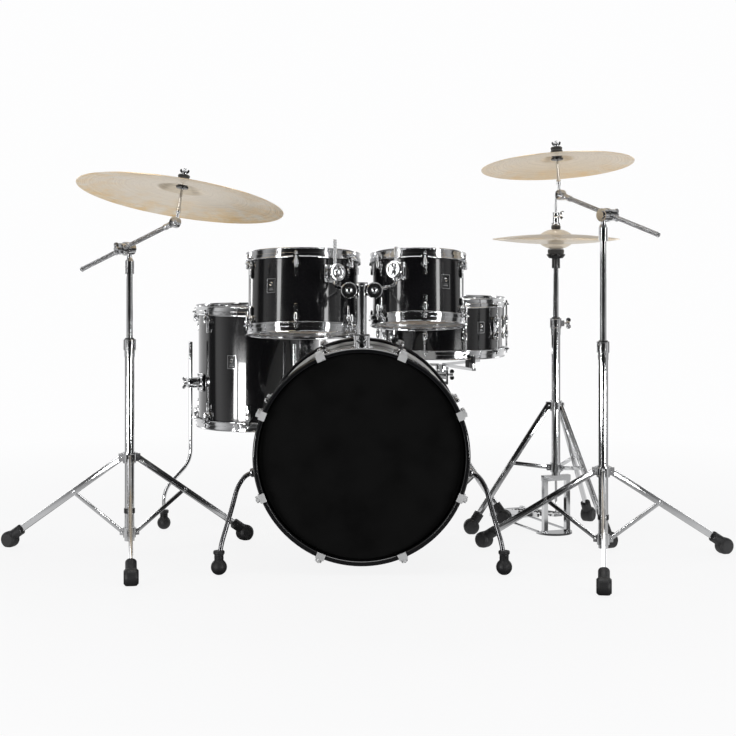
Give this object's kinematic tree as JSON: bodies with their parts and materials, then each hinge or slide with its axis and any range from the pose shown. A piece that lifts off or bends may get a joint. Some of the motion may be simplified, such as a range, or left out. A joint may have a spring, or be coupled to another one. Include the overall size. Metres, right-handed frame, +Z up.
{
  "type": "acoustic drum kit",
  "caption": "Acoustic drum kit on floor stands: bass drum with pedal, rack toms on a post, floor tom, snare drum, ride and crash cymbals on booms, and pedal-worked hi-hats.",
  "frame": {"origin": "on the floor, in the middle of the kit's footprint", "axes": "+Z up; +Y towards the drummer, so the bass drum faces -Y; +X towards the hi-hat side"},
  "size_m": [1.9568, 1.291, 1.0927],
  "materials": {
    "black_lacquer": "black high-gloss lacquer",
    "chrome": "polished",
    "black_head": "satin film",
    "white_head": "coated film",
    "bronze": "brushed, lathed",
    "rubber": "matte",
    "steel": "satin"
  },
  "bodies": {
    "kit_base": {"bass_shell": "black_lacquer", "bass_hoops": "black_lacquer", "bass_front_head": "black_head", "bass_batter_head": "white_head", "bass_lugs": "chrome", "bass_claws": "chrome", "bass_brackets": "chrome", "floor_tom_shell": "black_lacquer", "floor_tom_hoops": "chrome", "floor_tom_heads": "white_head", "floor_tom_hardware": "chrome", "cymbal_stand_tubes": "chrome", "hihat_stand_tube": "chrome", "snare_stand_tube": "chrome", "stand_legs": "chrome", "stand_feet": "rubber", "pedal_frame": "steel"},
    "left_spur": {"left_spur": "chrome"},
    "right_spur": {"right_spur": "chrome"},
    "floor_tom_leg_left": {"floor_tom_leg_left": "chrome"},
    "floor_tom_leg_front": {"floor_tom_leg_front": "chrome"},
    "floor_tom_leg_rear": {"floor_tom_leg_rear": "chrome"},
    "tom_post": {"tom_post": "chrome"},
    "left_tom_arm": {"left_tom_arm": "chrome"},
    "right_tom_arm": {"right_tom_arm": "chrome"},
    "left_tom": {"left_tom_shell": "black_lacquer", "left_tom_hoops": "chrome", "left_tom_heads": "white_head", "left_tom_lugs": "chrome", "left_tom_bracket": "chrome"},
    "right_tom": {"right_tom_shell": "black_lacquer", "right_tom_hoops": "chrome", "right_tom_heads": "white_head", "right_tom_lugs": "chrome", "right_tom_bracket": "chrome"},
    "left_mast": {"left_mast": "chrome"},
    "left_boom_clamp": {"left_boom_clamp": "chrome"},
    "left_boom_arm": {"left_boom_arm": "chrome"},
    "left_cymbal_post": {"left_cymbal_post": "chrome"},
    "ride_cymbal": {"ride_cymbal": "bronze"},
    "right_mast": {"right_mast": "chrome"},
    "right_boom_clamp": {"right_boom_clamp": "chrome"},
    "right_boom_arm": {"right_boom_arm": "chrome"},
    "right_cymbal_post": {"right_cymbal_post": "chrome"},
    "crash_cymbal": {"crash_cymbal": "bronze"},
    "hihat_mast": {"hihat_mast": "chrome", "hihat_lower_cymbal": "bronze"},
    "hihat_pull": {"hihat_pull_rod": "chrome", "hihat_upper_cymbal": "bronze"},
    "hihat_footboard": {"hihat_footboard": "chrome"},
    "snare_basket": {"snare_basket": "chrome"},
    "snare_drum": {"snare_shell": "black_lacquer", "snare_hoops": "chrome", "snare_heads": "white_head", "snare_lugs": "chrome", "snare_strainer": "chrome"},
    "throw_off_lever": {"throw_off_lever": "chrome"},
    "pedal_footboard": {"pedal_footboard": "steel"},
    "pedal_beater": {"pedal_beater": "steel"},
    "pedal_chain": {"pedal_chain": "steel"}
  },
  "joints": [
    {"name": "left_spur_fold", "type": "hinge", "parent": "kit_base", "child": "left_spur", "pos_m": [-0.27345, -0.29095, 0.23853], "axis": [0.9816, 0, 0.1908], "range_deg": [0, 110]},
    {"name": "right_spur_fold", "type": "hinge", "parent": "kit_base", "child": "right_spur", "pos_m": [0.26645, -0.29095, 0.23853], "axis": [0.9816, 0, -0.1908], "range_deg": [0, 110]},
    {"name": "floor_tom_leg_left_slide", "type": "slide", "parent": "kit_base", "child": "floor_tom_leg_left", "axis": [0, 0, 1], "range_m": [-0.09, 0.12]},
    {"name": "floor_tom_leg_front_slide", "type": "slide", "parent": "kit_base", "child": "floor_tom_leg_front", "axis": [0, 0, 1], "range_m": [-0.09, 0.008]},
    {"name": "floor_tom_leg_rear_slide", "type": "slide", "parent": "kit_base", "child": "floor_tom_leg_rear", "axis": [0, 0, 1], "range_m": [-0.09, 0.12]},
    {"name": "tom_post_slide", "type": "slide", "parent": "kit_base", "child": "tom_post", "axis": [0, 0, 1], "range_m": [0, 0.05]},
    {"name": "left_tom_tilt", "type": "hinge", "parent": "tom_post", "child": "left_tom_arm", "pos_m": [-0.0365, -0.21295, 0.698], "axis": [1, 0, 0], "range_deg": [0, 5]},
    {"name": "left_tom_slide", "type": "slide", "parent": "left_tom_arm", "child": "left_tom", "axis": [0, 0.1305, 0.9914], "range_m": [0, 0.03]},
    {"name": "right_tom_tilt", "type": "hinge", "parent": "tom_post", "child": "right_tom_arm", "pos_m": [0.0295, -0.21295, 0.698], "axis": [1, 0, 0], "range_deg": [-3, 14]},
    {"name": "right_tom_slide", "type": "slide", "parent": "right_tom_arm", "child": "right_tom", "axis": [0, 0.1564, 0.9877], "range_m": [-0.005, 0.03]},
    {"name": "left_mast_slide", "type": "slide", "parent": "kit_base", "child": "left_mast", "axis": [0, 0, 1], "range_m": [-0.1, 0.12]},
    {"name": "left_boom_tilt", "type": "hinge", "parent": "left_mast", "child": "left_boom_clamp", "pos_m": [-0.6125, -0.15995, 0.805], "axis": [0.5702, 0.8215, 0], "range_deg": [-25, 18]},
    {"name": "left_boom_slide", "type": "slide", "parent": "left_boom_clamp", "child": "left_boom_arm", "axis": [0.7695, -0.534, 0.3503], "range_m": [-0.08, 0.08]},
    {"name": "left_tilter_turn", "type": "hinge", "parent": "left_boom_arm", "child": "left_cymbal_post", "pos_m": [-0.47804, -0.28491, 0.87296], "axis": [-0.6228, -0.7489, 0.2265], "range_deg": [-20, 20]},
    {"name": "ride_cymbal_swing", "type": "hinge", "parent": "left_cymbal_post", "child": "ride_cymbal", "pos_m": [-0.46026, -0.26165, 0.97805], "axis": [1, 0, 0], "range_deg": [-6, 6], "stiffness_Nm_per_rad": 9},
    {"name": "right_mast_slide", "type": "slide", "parent": "kit_base", "child": "right_mast", "axis": [0, 0, 1], "range_m": [-0.1, 0.12]},
    {"name": "right_boom_tilt", "type": "hinge", "parent": "right_mast", "child": "right_boom_clamp", "pos_m": [0.6145, -0.25995, 0.892], "axis": [-0.7719, -0.6357, 0], "range_deg": [-25, 15]},
    {"name": "right_boom_slide", "type": "slide", "parent": "right_boom_clamp", "child": "right_boom_arm", "axis": [-0.6058, 0.7357, 0.3029], "range_m": [-0.08, 0.08]},
    {"name": "right_tilter_turn", "type": "hinge", "parent": "right_boom_arm", "child": "right_cymbal_post", "pos_m": [0.5237, -0.1088, 0.94743], "axis": [0.7601, 0.6477, -0.0527], "range_deg": [-20, 20]},
    {"name": "crash_cymbal_swing", "type": "hinge", "parent": "right_cymbal_post", "child": "crash_cymbal", "pos_m": [0.51459, -0.09633, 1.05846], "axis": [1, 0, 0], "range_deg": [-6, 6], "stiffness_Nm_per_rad": 5},
    {"name": "hihat_height_slide", "type": "slide", "parent": "kit_base", "child": "hihat_mast", "axis": [0, 0, 1], "range_m": [-0.05, 0]},
    {"name": "hihat_pull_slide", "type": "slide", "parent": "hihat_mast", "child": "hihat_pull", "axis": [0, 0, 1], "range_m": [0, 0.025]},
    {"name": "hihat_footboard_hinge", "type": "hinge", "parent": "kit_base", "child": "hihat_footboard", "pos_m": [0.43885, 0.42753, 0.022], "axis": [-0.9315, -0.3637, 0], "range_deg": [0, 6]},
    {"name": "snare_basket_tilt", "type": "hinge", "parent": "kit_base", "child": "snare_basket", "pos_m": [0.2315, 0.37805, 0.43], "axis": [-1, 0, 0], "range_deg": [-6, 5]},
    {"name": "snare_lift", "type": "slide", "parent": "snare_basket", "child": "snare_drum", "axis": [0, 0, 1], "range_m": [0, 0.15]},
    {"name": "throw_off_turn", "type": "hinge", "parent": "snare_drum", "child": "throw_off_lever", "pos_m": [0.4141, 0.43738, 0.587], "axis": [-0.309, 0.9511, 0], "range_deg": [0, 60]},
    {"name": "pedal_footboard_hinge", "type": "hinge", "parent": "kit_base", "child": "pedal_footboard", "pos_m": [-0.0035, 0.33205, 0.02], "axis": [1, 0, 0], "range_deg": [0, 8.5]},
    {"name": "pedal_beater_turn", "type": "hinge", "parent": "kit_base", "child": "pedal_beater", "pos_m": [-0.0035, 0.11705, 0.225], "axis": [1, 0, 0], "range_deg": [0, 52], "stiffness_Nm_per_rad": 2.2, "springref_deg": -34.38},
    {"name": "pedal_chain_slide", "type": "slide", "parent": "kit_base", "child": "pedal_chain", "axis": [0, 0, 1], "range_m": [-0.04, 0]}
  ],
  "couplings": [
    {"joint": "hihat_footboard_hinge", "follows": "hihat_pull_slide", "rad_per_m": 4},
    {"joint": "pedal_beater_turn", "follows": "pedal_footboard_hinge", "ratio": 6},
    {"joint": "pedal_chain_slide", "follows": "pedal_footboard_hinge", "m_per_rad": -0.266}
  ]
}
